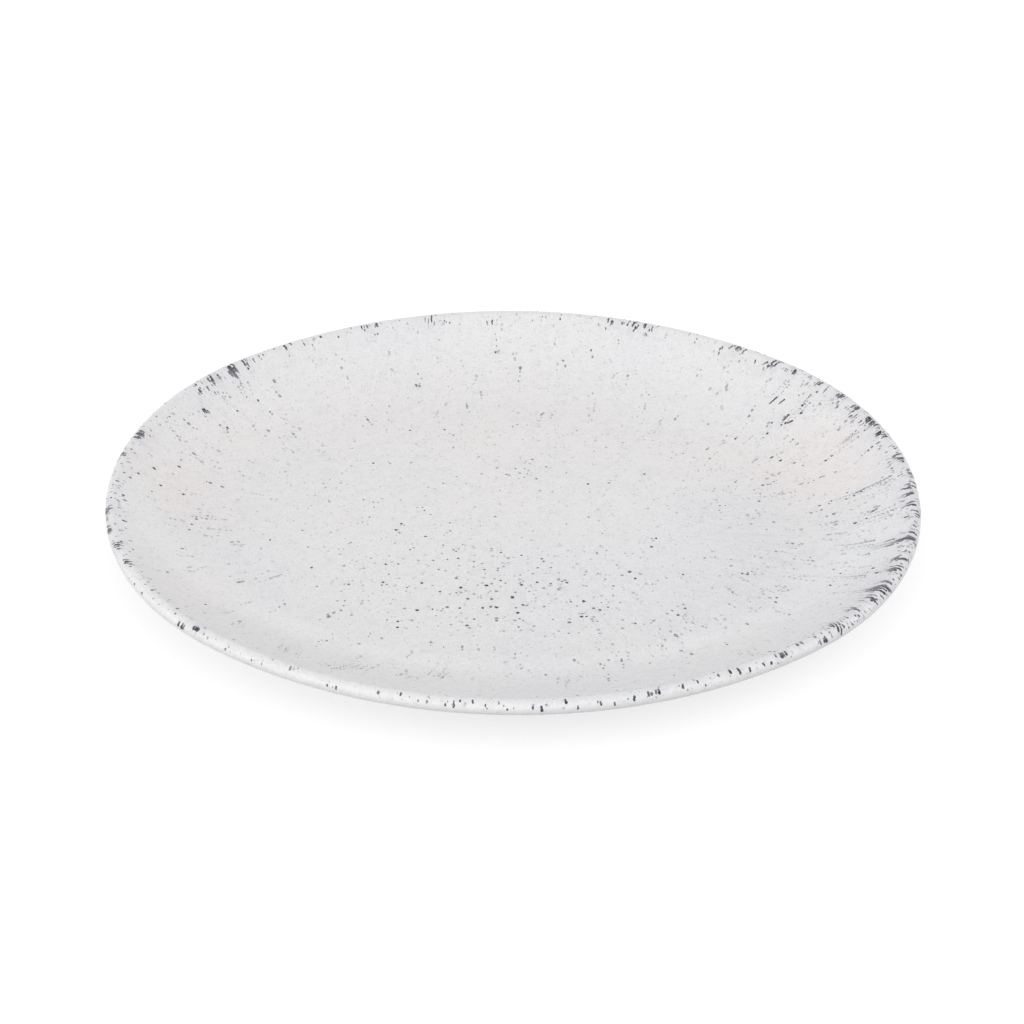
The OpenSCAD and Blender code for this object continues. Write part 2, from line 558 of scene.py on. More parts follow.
speckled_coat = sweep_coat("speckled_coat", upper_section, speckled_glaze)
outside_coat = sweep_coat("outside_coat", underside_section, plain_glaze)
recess_coat = sweep_coat("recess_coat", recess_section, plain_glaze)
bpy.data.objects.remove(rim_guide)
for coat, node, slot in (
    (speckled_coat, "upper_glaze", "speckled_glaze"),
    (outside_coat, "underside_glaze", "plain_glaze"),
    (recess_coat, "recess_glaze", "plain_glaze"),
):
    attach(coat, "root")
    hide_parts(node)

# %% [markdown]
# The specks are grains of iron and cobalt that melt through the coat. In the well they stay round dots.
# On the wall the runny glaze draws them into short rows that point down the slope, and they crowd along
# the lip. A texture could scatter them, but not crowd them where this plate has its thick groups, so
# they are laid one by one as flat lenses sunk into the glaze. Each is placed on the dish by turn and by
# its reach, the length down from the outermost line of the lip.

# %% A place on the dish
lip_reach = lip_radius * (QUARTER + WALL_SLOPE)
curve_reach = lip_reach + wall_length
well_reach = curve_reach + WELL_CURVE * WALL_SLOPE


def on_dish(turn, reach):
    """Place, normal and downhill direction on the dish, at a turn in radians and a reach in metres."""
    if reach < lip_reach:
        slope = reach / lip_radius - QUARTER
        x = lip_radius * math.cos(reach / lip_radius)
        z = lip_z + lip_radius * math.sin(reach / lip_radius)
    elif reach < curve_reach:
        down = reach - lip_reach
        slope = WALL_SLOPE
        x = -lip_radius * math.sin(slope) - down * math.cos(slope)
        z = lip_z + lip_radius * math.cos(slope) - down * math.sin(slope)
    else:
        slope = max(0.0, WALL_SLOPE - (reach - curve_reach) / WELL_CURVE)
        x = well_edge + WELL_CURVE * math.sin(slope) - max(0.0, reach - well_reach)
        z = curve_z - WELL_CURVE * math.cos(slope)
    middle, out = lip_line(turn)
    up = Vector((0, 0, 1))
    normal = math.cos(slope) * up - math.sin(slope) * out
    downhill = -math.cos(slope) * out - math.sin(slope) * up
    return middle + x * out + z * up, normal, downhill


far_edge = on_dish(QUARTER, well_reach)[0]
print("the far edge of the well is at y %.1f, z %.1f mm" % (far_edge.y / MM, far_edge.z / MM))

# %% [markdown]
# A list of specks grows from a few rules. A fringe of short dashes runs all round the lip, thick where
# the pigment crowds. Below it the glaze has pulled the thickest drops into streaks that thin out down
# the wall. Dots lie loose over wall and well, with a few thicker patches. Every draw comes from one
# seeded source, so each run lays the same specks.

# %% Specks and dashes
SPECK_SEED = 41
DASH_TAPER = 0.3
DASH_WIDTHS = (0.8, 1.15)
DASH_LENGTHS = (1.2, 1.8)
DASH_STEP = 0.85
DASH_WANDER = 0.03
DASH_FADE = 0.6
draw = random.Random(SPECK_SEED)
specks = []


def lay_speck(spot, length, width, tone):
    """Notes one speck by length and width in millimetres, and a tone from 0, faint, to 1, blue-black."""
    specks.append((spot, 0.5 * length * MM, 0.5 * width * MM, tone))


def lay_dash(turn, reach, length, width, tone, taper=DASH_TAPER, drift=0.0):
    """Specks that run into each other down the slope, from a turn in degrees. Lengths are in millimetres.

    The dash gets thinner by the taper, and leans over by the drift in degrees."""
    down = 0.0
    while down <= length:
        share = down / length if length else 0.0
        part = width * (1 - taper * share) * draw.uniform(*DASH_WIDTHS)
        part_turn = turn + drift * share + draw.gauss(0, DASH_WANDER)
        spot = on_dish(math.radians(part_turn), (reach + down) * MM)
        lay_speck(spot, part * draw.uniform(*DASH_LENGTHS), part, tone * (1 - DASH_FADE * taper * share))
        down += DASH_STEP * part


def mostly_low(least, span, power):
    """A random number from a least one up over a span. The higher the power, the rarer the high ones."""
    return least + span * draw.random() ** power


print("specks are drawn from seed %d" % SPECK_SEED)

# %% [markdown]
# The fringe comes first. It is thick in some places of the lip and nearly missing in others, so its
# level is set at a few turns and read off between them.

# %% The fringe round the lip


def level_at(turn, knots):
    """A level at a turn in degrees, between the knots on either side."""
    for (start, low), (stop, high) in zip(knots, knots[1:]):
        if start <= turn <= stop:
            return low + (high - low) * (turn - start) / (stop - start)
    return knots[0][1]


FRINGE_LEVEL = (
    # turn, how thick the fringe is
    (0, 0.85), (12, 0.8), (25, 1.0), (38, 0.9), (50, 0.8), (60, 0.7), (78, 0.6), (90, 0.35), (105, 0.5),
    (118, 0.5), (128, 0.8), (140, 0.7), (150, 0.25), (163, 0.7), (175, 0.6), (188, 0.9), (200, 0.6),
    (212, 0.3), (228, 0.35), (245, 0.3), (265, 0.4), (285, 0.45), (305, 0.65), (325, 1.0), (345, 0.9),
    (360, 0.85),
)
FRINGE_TRIES = 1250
FRINGE_LENGTHS = (0.0, 0.0, 0.4, 0.8, 1.2, 1.8)
# Least, span and power of what is mostly low.
FRINGE_REACH = (1.2, 9, 1.3)
FRINGE_WIDTH = (0.5, 0.6, 2)
FRINGE_TONES = (0.1, 1.0)
for dash in range(FRINGE_TRIES):
    turn = draw.uniform(0, 360)
    level = level_at(turn, FRINGE_LEVEL)
    if draw.random() < level:
        length = draw.choice(FRINGE_LENGTHS) * level
        reach = mostly_low(*FRINGE_REACH)
        width = mostly_low(*FRINGE_WIDTH)
        lay_dash(turn, reach, length, width, draw.uniform(*FRINGE_TONES))
print("fringe: %d specks" % len(specks))

# %% [markdown]
# A drop of pigment that ran has a thick dark head and a thin pale trail. On the near right of the plate
# the trails are fine hairs, and elsewhere they are loose dots. The thickest streaks are listed, and
# each one draws a few strands beside it. Trails without a head and the blackest single marks come after
# them.

# %% Streaks down the wall
HEAD_LEAST = 1.0
HEAD_SHARE = 0.25
HEAD_WIDTH = 1.05
TAIL_WIDTH = 0.5
TAIL_TONE = 0.45
TRAIL_TAPER = 0.5
TRAIL_WIDTHS = (0.8, 1.2)
TRAIL_WANDER = 0.05
TRAIL_FADE = 0.7
TRAIL_TONES = (0.5, 1.0)
HAIRS_FROM = 312
HAIRS_TO = 349
HAIR_LENGTHS = (1.2, 2.8)
HAIR_STEPS = (0.6, 1.3)
DOT_LENGTHS = (1.0, 1.6)
DOT_STEPS = (0.9, 2.4)


def lay_trail(turn, reach, length, width, tone, drift, hairs):
    """A pale trail down the wall, of fine hairs end to end or of loose dots."""
    down = 0.0
    while down < length:
        share = down / length
        thin = width * (1 - TRAIL_TAPER * share) * draw.uniform(*TRAIL_WIDTHS)
        part = draw.uniform(*HAIR_LENGTHS) if hairs else thin * draw.uniform(*DOT_LENGTHS)
        part_turn = turn + drift * share + draw.gauss(0, TRAIL_WANDER)
        spot = on_dish(math.radians(part_turn), (reach + down) * MM)
        lay_speck(spot, part, thin, tone * (1 - TRAIL_FADE * share) * draw.uniform(*TRAIL_TONES))
        down += part * draw.uniform(*HAIR_STEPS) if hairs else draw.uniform(*DOT_STEPS)


def lay_streak(turn, reach, length, width, tone, drift):
    """A drop of pigment that ran: a thick dark head, and a thin pale trail behind it."""
    head = min(length, HEAD_LEAST + HEAD_SHARE * length)
    tail = length - head
    lean = drift * head / length
    lay_dash(turn, reach, head, HEAD_WIDTH * width, tone, drift=lean)
    hairs = HAIRS_FROM < turn < HAIRS_TO
    lay_trail(turn + lean, reach + head, tail, TAIL_WIDTH * width, TAIL_TONE * tone, drift - lean, hairs)


STREAKS = (
    # turn, first reach, length, width, drift, strands
    (1.2, 3, 8, 1.1, 0.8, 5), (6, 3, 3, 1.0, -0.4, 2), (11, 4, 3, 1.5, 0, 4), (12.3, 5, 5, 1.0, 0.4, 2),
    (19, 5, 2.5, 1.0, 0.4, 2), (21, 6, 3.5, 1.3, 0.2, 4), (24.5, 5, 3, 1.5, 0, 4),
    (26, 5, 3, 1.5, 0, 3), (30.5, 5, 3.5, 1.2, 0.5, 4), (36, 5, 3, 1.5, 0.4, 5),
    (42, 5, 4, 1.0, 0.5, 3), (49.3, 6, 3, 1.3, 0.3, 3), (54, 5, 6, 1.0, 1.2, 5),
    (59.5, 4, 4, 1.2, 0.5, 4), (72.5, 5, 5, 0.9, 0, 3), (74, 5, 6, 1.0, 0.5, 4),
    (77.5, 5, 4, 0.8, 0, 2), (93, 9, 3, 0.7, 0, 1), (101, 5, 8, 0.8, 0.4, 4), (108.5, 5, 3, 0.8, 0, 3),
    (110.5, 5, 3, 0.8, 0, 2), (121.3, 5, 3.5, 1.3, -0.1, 2), (128, 5, 6, 1.1, 0, 4),
    (131.5, 5, 9, 1.9, -0.4, 7), (137, 6, 6, 1.2, 0.1, 4), (141.5, 8, 4, 1.0, 0.2, 2),
    (144, 16, 3.5, 1.0, 0.3, 2), (162, 4.5, 3, 1.8, 0, 7), (169, 1.5, 4, 1.6, 0, 4),
    (188, 1, 3.5, 1.5, 1.5, 6), (194.5, 1.5, 3, 1.6, 1.0, 4), (200, 3, 4, 0.9, 1, 4),
    (206, 4, 4, 0.9, 1, 4), (228.5, 1, 2.6, 1.3, 0.2, 2), (232, 3.4, 0.8, 1.9, 0, 4),
    (286, 2.8, 1.3, 1.3, 0, 3), (294.5, 4.0, 1.5, 1.2, 0, 3), (301, 3, 1.8, 1.3, 0, 5),
    (303.5, 5, 2, 1.0, 0, 2), (307, 1.5, 2, 1.3, 0, 3), (310.5, 2.5, 9, 1.1, 1.8, 6),
    (317.5, 5, 11, 0.9, 0.5, 5), (322.3, 4, 13, 1.0, 0.3, 4), (325.3, 3, 15, 1.4, -0.4, 5),
    (327, 3, 13, 1.5, -1.2, 6), (333.5, 3.5, 12, 1.3, -1.0, 5), (337, 3.5, 9, 1.5, -1.6, 5),
    (343.6, 4, 20, 1.5, 0.2, 6), (345.5, 3, 8, 1.0, 0.5, 3), (352, 2.5, 3.5, 1.4, 0, 3),
    (355, 5, 7, 1.2, 0.4, 5), (358.7, 5, 6, 1.2, 0, 4),
)
STRAND_SPREAD = 0.75
STRAND_LENGTHS = (0.3, 1.1)
STRAND_STARTS = (-0.2, 0.4)
STRAND_WIDTHS = (0.5, 0.95)
STRAND_TONES = (0.7, 1.0)
LEAST_REACH = 0.6
for turn, reach, length, width, drift, strands in STREAKS:
    lay_streak(turn, reach, length, width, 1.0, drift)
    for strand in range(strands):
        strand_length = length * draw.uniform(*STRAND_LENGTHS)
        start = max(LEAST_REACH, reach + draw.uniform(*STRAND_STARTS) * length)
        strand_width = width * draw.uniform(*STRAND_WIDTHS)
        strand_turn = turn + draw.gauss(0, STRAND_SPREAD)
        strand_tone = draw.uniform(*STRAND_TONES)
        strand_drift = drift * strand_length / length
        lay_streak(strand_turn, start, strand_length, strand_width, strand_tone, strand_drift)

TRAILS = (
    # turn, first reach, length, drift, strands
    (242, 21, 12, -1.2, 7), (247.5, 20, 13, 1.0, 7), (251, 26, 8, 0.5, 4), (261, 33, 14, 0.8, 7),
    (278, 30, 8, 0, 3), (299, 19, 9, 0.8, 4), (131, 14, 8, 0.6, 4), (137, 14, 8, 0.3, 4),
    (42, 14, 16, 0.5, 4), (49, 12, 10, 0.8, 3), (7, 12, 30, 0.8, 5), (356, 14, 20, 0.4, 5),
    (346, 22, 18, 0.6, 5), (333, 18, 24, 0.5, 5), (25, 12, 20, 0.5, 4),
)
LONE_SPREAD = 0.9
LONE_SHIFTS = (-2, 2)
LONE_LENGTHS = (0.4, 1.0)
LONE_WIDTH = 0.75
LONE_TONE = 0.7
for turn, reach, length, drift, strands in TRAILS:
    for strand in range(strands):
        strand_turn = turn + draw.gauss(0, LONE_SPREAD)
        start = reach + draw.uniform(*LONE_SHIFTS)
        strand_length = length * draw.uniform(*LONE_LENGTHS)
        lay_trail(strand_turn, start, strand_length, LONE_WIDTH, LONE_TONE, drift, False)

WALL_MARKS = (
    # turn, reach, length, width, drift
    (41.4, 26, 2.0, 0.9, 0.8), (43.5, 24.5, 3.0, 0.9, 0.1), (42.4, 28.2, 0.5, 0.9, 0),
    (42.2, 17.8, 0.6, 1.1, 0), (41.0, 20.8, 0.6, 1.1, 0), (47.3, 19.5, 2.6, 0.7, 0.5),
    (49.4, 20, 4.0, 0.7, 0.6), (44.3, 36.5, 0.5, 1.0, 0), (43.0, 29.8, 0.4, 0.9, 0),
    (7.1, 24.4, 0.4, 0.9, 0), (6.7, 27.6, 0.6, 0.9, 0), (8.8, 29.8, 0.3, 0.8, 0),
    (6.6, 31, 0.4, 0.9, 0), (7.0, 38, 0.3, 0.9, 0), (7.9, 36.8, 0.3, 0.8, 0), (7.4, 41.8, 0.6, 0.9, 0),
    (23.9, 26.8, 0.4, 0.9, 0), (23.7, 30, 0.3, 0.8, 0), (130.2, 24, 0.4, 0.9, 0),
    (137, 24, 0.4, 0.8, 0), (143, 28, 0.4, 0.9, 0), (164, 25.6, 0.4, 1.0, 0),
    (173.4, 12.6, 0.5, 1.1, 0), (173.4, 22.5, 0.3, 1.1, 0), (173.2, 32, 0.3, 1.0, 0),
    (176.8, 20, 0.6, 0.8, 0), (169, 17.4, 0.8, 1.0, 0), (182, 39.5, 0.3, 1.1, 0),
    (187.5, 36.8, 0.3, 0.9, 0), (208, 21, 0.4, 0.9, 0), (222, 25, 0.3, 0.9, 0),
    (294.5, 35.5, 0.9, 0.9, 0.1), (305, 41.5, 0.8, 0.8, 0), (355.8, 29.4, 0.5, 1.1, 0),
    (356.4, 24.8, 0.3, 0.9, 0), (347.8, 25, 0.3, 0.8, 0), (332.6, 13, 0.4, 1.2, 0),
    (335, 16.4, 0.4, 1.1, 0), (329, 30.6, 0.9, 0.7, 0.6), (334.5, 30, 0.6, 0.8, 0),
    (317, 45, 0.3, 1.1, 0), (319, 46.5, 0.3, 1.0, 0), (33, 43.5, 0.3, 0.9, 0), (36, 44.8, 0.3, 1.0, 0),
)
LIP_MARKS = (
    # turn, reach, length, width, drift
    (250.8, 1.2, 0.6, 0.9, 0), (255.5, 2.9, 0.9, 1.0, 0), (258.0, 3.4, 0.7, 0.9, 0),
    (263.8, 1.2, 2.6, 0.7, 0), (265.8, 3.4, 1.2, 0.9, 0), (267.2, 2.5, 0.6, 0.8, 0),
    (269.5, 1.2, 0.6, 0.8, 0), (272.2, 1.8, 0.8, 0.9, 0), (273.2, 0.8, 1.6, 1.1, 0),
    (275.8, 3.4, 1.2, 1.2, 0), (277.0, 0.8, 0.8, 0.8, 0), (279.5, 1.6, 1.2, 0.8, 0),
    (281.0, 0.8, 0.9, 0.8, 0), (283.2, 1.8, 1.8, 1.2, 0), (284.8, 2.6, 1.0, 1.1, 0),
    (288.8, 3.0, 1.4, 1.0, 0), (295.5, 2.6, 1.4, 1.1, 0), (296.8, 2.2, 1.2, 1.0, 0),
    (290.5, 3.4, 1.0, 0.8, 0), (298.5, 2.4, 1.2, 0.9, 0),
)
MARK_TONES = (0.85, 1.0)
MARK_TAPER = 0.1
for turn, reach, length, width, drift in WALL_MARKS + LIP_MARKS:
    lay_dash(turn, reach, length, width, draw.uniform(*MARK_TONES), MARK_TAPER, drift)
streak_specks = specks
print("fringe and streaks: %d specks" % len(streak_specks))

# %% [markdown]
# Between the streaks lie short rows of dots that point down the slope. They crowd at some turns, so
# again a level round the rim says how likely a row is. A thin even scatter of faint dots covers the
# rest.

# %% Loose dots on the wall
specks = []
WALL_LEVEL = (
    # turn, how thick the loose dots lie
    (0, 0.9), (12, 0.4), (25, 0.5), (40, 0.9), (50, 0.5), (60, 0.4), (70, 0.35), (90, 0.12),
    (105, 0.25), (120, 0.2), (132, 0.4), (150, 0.2), (165, 0.35), (185, 0.25), (200, 0.2), (215, 0.1),
    (228, 0.15), (240, 0.5), (255, 0.3), (270, 0.5), (290, 0.4), (305, 0.3), (320, 0.3), (335, 0.7),
    (350, 0.8), (360, 0.9),
)
EVEN_LEVEL = ((0, 0.7), (360, 0.7))
CURVE_LEVEL = (
    # turn, how thick they lie at the foot of the wall
    (0, 0.3), (10, 0.3), (22, 0.6), (32, 0.4), (45, 0.2), (55, 0.35), (70, 0.3), (90, 0.2), (105, 0.4),
    (118, 0.35), (135, 0.15), (160, 0.1), (180, 0.2), (200, 0.25), (215, 0.35), (225, 0.6), (245, 0.7),
    (262, 0.75), (275, 0.9), (292, 1.0), (310, 0.8), (322, 0.5), (335, 0.3), (350, 0.2), (360, 0.3),
)
ROW_DOTS = (1, 1, 2, 2, 3, 4)
ROW_SIZE = (0.65, 0.75, 2)
ROW_LENGTHS = (0.0, 0.0, 0.0, 0.5)
ROW_TONE_POWER = 1.4
ROW_TONES = (0.4, 1.0)
ROW_SPREAD = 0.25
ROW_GAPS = (1.0, 3.2)


def lay_rows(tries, levels, first, last, darkest):
    """Short rows of dots that point down the slope, between two reaches."""
    for row in range(tries):
        turn = draw.uniform(0, 360)
        if draw.random() < level_at(turn, levels):
            reach = draw.uniform(first, last)
            row_tone = mostly_low(0, darkest, ROW_TONE_POWER)
            for dot in range(draw.choice(ROW_DOTS)):
                size = mostly_low(*ROW_SIZE)
                length = draw.choice(ROW_LENGTHS)
                dot_turn = turn + draw.gauss(0, ROW_SPREAD)
                lay_dash(dot_turn, reach, length, size, row_tone * draw.uniform(*ROW_TONES))
                reach += draw.uniform(*ROW_GAPS)


# tries, levels round the rim, first and last reach, darkest tone
lay_rows(480, WALL_LEVEL, 7, 45, 0.95)
lay_rows(290, CURVE_LEVEL, 44, 60, 0.8)
lay_rows(340, EVEN_LEVEL, 7, 60, 0.25)
print("loose on the wall: %d specks" % len(specks))

# %% [markdown]
# On the flat of the well nothing runs, so its dots stay round. Some gather in soft patches, the
# blackest ones are listed, and faint ones lie evenly over the whole flat.

# %% Dots in the well
DOT_STRETCH = (1.0, 1.3)
lip_to_well = lip_radius - well_edge


def inside_well(x, y):
    """Whether a place is on the flat of the well."""
    if 3 * abs(y) <= 4 * (abs(x) - end_centre):
        return math.hypot(abs(x) - end_centre, y) < end_radius - lip_to_well
    return math.hypot(x, abs(y) + side_centre) < side_radius - lip_to_well


def lay_dot(x, y, size, tone):
    """One dot in the well, if its place is on the flat. All lengths in millimetres."""
    if inside_well(x * MM, y * MM):
        spot = Vector((x * MM, y * MM, floor_top)), Vector((0, 0, 1)), Vector((1, 0, 0))
        lay_speck(spot, size * draw.uniform(*DOT_STRETCH), size, tone)


WELL_PATCHES = (
    # x, y, spread of x and y, dots, size
    (5, -45, 22, 10, 85, 1.0), (45, -38, 18, 14, 45, 0.9), (-45, -40, 20, 14, 50, 0.85),
    (0, -62, 40, 8, 60, 0.85), (-55, -12, 20, 12, 45, 0.8), (0, -25, 26, 8, 40, 0.8),
    (88, 22, 10, 8, 26, 0.8), (-45, 60, 16, 5, 20, 0.7), (20, 66, 16, 5, 16, 0.6),
    (0, 32, 9, 6, 22, 0.8), (95, -38, 8, 6, 22, 0.8), (-80, 22, 5, 6, 7, 0.7),
    (-60, 12, 10, 8, 14, 0.6), (80, 45, 16, 10, 14, 0.6), (30, -5, 40, 20, 24, 0.6),
    (75, -58, 16, 6, 24, 0.8),
)
PATCH_DOT_SIZE = (0.8, 0.8, 2)
DARK_CHANCE = 0.35
DARK_TONES = (0.65, 1.0)
PALE_TONES = (0.05, 0.5)
for x, y, x_spread, y_spread, dots, size in WELL_PATCHES:
    for dot in range(dots):
        dot_size = size * mostly_low(*PATCH_DOT_SIZE)
        tones = DARK_TONES if draw.random() < DARK_CHANCE else PALE_TONES
        dot_tone = draw.uniform(*tones)
        lay_dot(draw.gauss(x, x_spread), draw.gauss(y, y_spread), dot_size, dot_tone)

WELL_MARKS = (
    # x, y, size of the blackest dots
    (-36, -54, 1.3), (-10, -39, 1.2), (0, -46, 1.4), (-6, -52, 1.2), (2, -55, 1.2), (27, -48, 1.3),
    (45, -30, 1.2), (26, -57, 1.2), (68, -57, 1.3), (-17, -47, 1.1), (-8, -47, 1.0), (33, -53, 1.0),
    (47, -34, 1.0), (-44, -1, 1.1), (-90, -36, 0.9), (-43, -64, 1.0), (56, -9, 1.0), (103, 61, 1.1),
    (-3, 32, 0.8), (53, 33, 0.9), (30, 26, 0.9), (-43, 62, 0.9), (-57, 39, 0.9), (13, -76, 1.0),
)
MARK_SWELL = 1.2
for x, y, size in WELL_MARKS:
    lay_dot(x, y, MARK_SWELL * size, draw.uniform(*MARK_TONES))

WELL_TRIES = 1350
WELL_DOT_SIZE = (0.65, 0.7, 2)
WELL_DOT_TONE = (0, 0.45, 1.5)
for dot in range(WELL_TRIES):
    x = draw.uniform(-PLATE_LENGTH, PLATE_LENGTH) / 2 / MM
    y = draw.uniform(-PLATE_WIDTH, PLATE_WIDTH) / 2 / MM
    lay_dot(x, y, mostly_low(*WELL_DOT_SIZE), mostly_low(*WELL_DOT_TONE))
dot_specks = specks
print("all loose dots: %d specks" % len(dot_specks))

# %% [markdown]
# The pigment itself is nearly black with a blue cast where it lies thick, and pale grey where the glaze
# covers it. Each speck carries its own tone, and the finish turns that into a colour with a little
# mottling.

# %% The pigment's finish
PIGMENT_FAINT = (0.60, 0.60, 0.635, 1)
PIGMENT_DARK = (0.012, 0.012, 0.026, 1)
PIGMENT_ROUGHNESS = (0.26, 0.38)
PIGMENT_MOTTLE_SIZE = 0.5 * MM
PIGMENT_MOTTLE = (-0.12, 0.12)
PIGMENT_BUMP = 0.01 * MM

pigment, work, shader, place = new_finish("pigment")
tone = work.add("ShaderNodeAttribute", attribute_name="tone").outputs["Fac"]
mottle = noise(work, place, PIGMENT_MOTTLE_SIZE)
depth = work.math("ADD", tone, ramp(work, mottle, *MIDDLE_RANGE, *PIGMENT_MOTTLE))
work.feed(shader.inputs["Base Color"], blend(work, depth, PIGMENT_FAINT, PIGMENT_DARK))
work.feed(shader.inputs["Roughness"], ramp(work, mottle, *MIDDLE_RANGE, *PIGMENT_ROUGHNESS))
shader.inputs["IOR"].default_value = GLAZE_IOR
bumped(work, shader, ((mottle, PIGMENT_BUMP),))
print("pigment ready")

# %% [markdown]
# One tree lays them all. It puts a small lens on each noted point, turns its flat side to the glaze and
# its length down the slope, frets its outline with noise, and then presses every corner onto the
# nearest place of the glaze, so that a speck on the lip bends with it. A dark speck stands proud by
# less than a tenth of a millimetre, as fired pigment does, and a faint one lies flatter.

# %% A tree that lays specks on a coat
NOISE_MIDDLE = (0.5, 0.5, 0.5)
lay, bench = new_geometry_tree("lay_specks_on_a_coat", (
    ("Coat", "NodeSocketObject"),
    ("Segments", "NodeSocketInt"),
    ("Rings", "NodeSocketInt"),
    ("Rise", "NodeSocketFloat"),
    ("Faint share", "NodeSocketFloat"),
    ("Sink", "NodeSocketFloat"),
    ("Fret", "NodeSocketFloat"),
    ("Fret size", "NodeSocketFloat"),
    ("Pigment", "NodeSocketMaterial"),
))
given = bench.add("NodeGroupInput").outputs


def field(name, kind="FLOAT_VECTOR"):
    """A named field of the geometry at hand."""
    return bench.add("GeometryNodeInputNamedAttribute", {"Name": name}, data_type=kind).outputs[0]


ball = bench.add("GeometryNodeMeshUVSphere", {
    "Segments": given["Segments"], "Rings": given["Rings"], "Radius": 1.0,
})
ball_height = bench.parts(bench.add("GeometryNodeInputPosition").outputs[0])[2]
lens = bench.add("GeometryNodeStoreNamedAttribute", {
    "Geometry": ball.outputs["Mesh"], "Name": "dome", "Value": ball_height,
}, data_type="FLOAT", domain="POINT").outputs[0]
turned = bench.add("FunctionNodeAxesToRotation", {0: field("up"), 1: field("down_slope")},
                   primary_axis="Z", secondary_axis="X").outputs[0]
spread = bench.add("GeometryNodeInstanceOnPoints", {
    "Points": given["Geometry"], "Instance": lens, "Rotation": turned, "Scale": field("half_size"),
}).outputs[0]
specks_real = bench.add("GeometryNodeRealizeInstances", {"Geometry": spread}).outputs[0]

position = bench.add("GeometryNodeInputPosition").outputs[0]
fret = bench.add("ShaderNodeTexNoise", {
    "Vector": position, "Scale": bench.math("DIVIDE", 1, given["Fret size"]), "Detail": 1.0,
}).outputs["Color"]
half_width = bench.parts(field("half_size"))[1]
fret_reach = bench.math("MULTIPLY", given["Fret"], half_width)
fret_way = bench.vector("SUBTRACT", fret, NOISE_MIDDLE)
fretted = bench.add("GeometryNodeSetPosition", {
    "Geometry": specks_real, "Offset": bench.scaled(fret_way, fret_reach),
}).outputs[0]

coat = bench.add("GeometryNodeObjectInfo", {"Object": given["Coat"]}).outputs["Geometry"]
nearest = bench.add("GeometryNodeProximity", {0: coat}, target_element="FACES").outputs["Position"]
coat_normal = bench.add("GeometryNodeSampleNearestSurface", {
    "Mesh": coat, "Value": bench.add("GeometryNodeInputNormal").outputs[0], "Sample Position": position,
}, data_type="FLOAT_VECTOR").outputs[0]
dark_share = bench.math("SUBTRACT", 1, given["Faint share"])
rise_share = bench.math("MULTIPLY_ADD", field("tone", "FLOAT"), dark_share, given["Faint share"])
dome_rise = bench.math("MULTIPLY", field("dome", "FLOAT"), given["Rise"])
stand = bench.math("SUBTRACT", bench.math("MULTIPLY", dome_rise, rise_share), given["Sink"])
pressed = bench.add("GeometryNodeSetPosition", {
    "Geometry": fretted, "Position": bench.vector("ADD", nearest, bench.scaled(coat_normal, stand)),
}).outputs[0]
end_tree(bench, pressed, given["Pigment"])
print("speck tree of %d nodes" % len(lay.nodes))

# %% [markdown]
# The two lists become two pieces. Streaks bend over the round of the lip, so their lenses have more
# faces than those of the dots.

# %% Lay the specks
SPECK_RISE = 0.07 * MM
FAINT_SHARE = 0.35
SPECK_SINK = 0.004 * MM
FRET = 0.9
FRET_SIZE = 0.6 * MM


def lay_all(name, listed, segments, rings):
    """One piece of all the specks in a list."""
    spots, lengths, widths, tones = zip(*listed)
    places, ups, downs = zip(*spots)
    points = guide(name + "_points", list(places), {
        "up": list(ups), "down_slope": list(downs), "half_size": list(zip(lengths, widths, widths)),
    })
    tone_field = points.attributes.new("tone", "FLOAT", "POINT")
    tone_field.data.foreach_set("value", tones)
    piece = made_by_nodes(name, points, lay, {
        "Coat": speckled_coat, "Segments": segments, "Rings": rings, "Pigment": pigment,
        "Rise": SPECK_RISE, "Faint share": FAINT_SHARE, "Sink": SPECK_SINK,
        "Fret": FRET, "Fret size": FRET_SIZE,
    })
    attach(piece, "root")


lay_all("pigment_streaks", streak_specks, 8, 4)
lay_all("pigment_dots", dot_specks, 7, 3)

# %% [markdown]
# Where specks crowd, a little of their colour bleeds into the melt as a lavender haze. Each corner of the
# coat counts the specks round it, and the glaze's finish reads that count. A few soft patches add the same
# colour as painted shade where the wall curves into the well.

# %% Haze round the crowded specks, and painted shade
HAZE_REACH = 5 * MM
FULL_HAZE_AND_SHADE = 9 * MM ** 2
# These patches are painted shade: they darken the glaze where the wall curves into the well, at the right
# end and at the front.
SHADE_PATCHES = (
    # x, y, spread, strength
    (95, 12, 20, 0.4), (98, -12, 24, 0.6), (88, -42, 22, 0.5), (30, -66, 40, 0.25),
)

all_specks = streak_specks + dot_specks
speck_tree = KDTree(len(all_specks))
for number, (spot, length, width, tone) in enumerate(all_specks):
    speck_tree.insert(spot[0], number)
speck_tree.balance()


def patch_sum(place, patches):
    """What a list of soft round patches adds up to at a place."""
    total = 0.0
    for x, y, patch_spread, strength in patches:
        away = math.hypot(place.x / MM - x, place.y / MM - y) / patch_spread
        total += strength * math.exp(-away * away)
    return total


def haze_and_shade_at(place):
    """How much haze and painted shade lie at a place, from 0 to 1: the specks round it give haze, the
    patches give shade.
    """
    total = patch_sum(place, SHADE_PATCHES) * FULL_HAZE_AND_SHADE
    for found, number, distance in speck_tree.find_range(place, HAZE_REACH):
        spot, half_length, half_breadth, tone = all_specks[number]
        total += 4 * half_length * half_breadth * tone * (1 - distance / HAZE_REACH)
    return min(1.0, total / FULL_HAZE_AND_SHADE)


def note_on_coat(name, level):
    """Stores a level at each corner of the speckled coat, for its finish to read."""
    noted = speckled_coat.data.attributes.new(name, "FLOAT", "POINT")
    noted.data.foreach_set("value", [level(corner.co) for corner in speckled_coat.data.vertices])
    print("%s noted at %d corners" % (name, len(speckled_coat.data.vertices)))


note_on_coat("haze_and_shade", haze_and_shade_at)

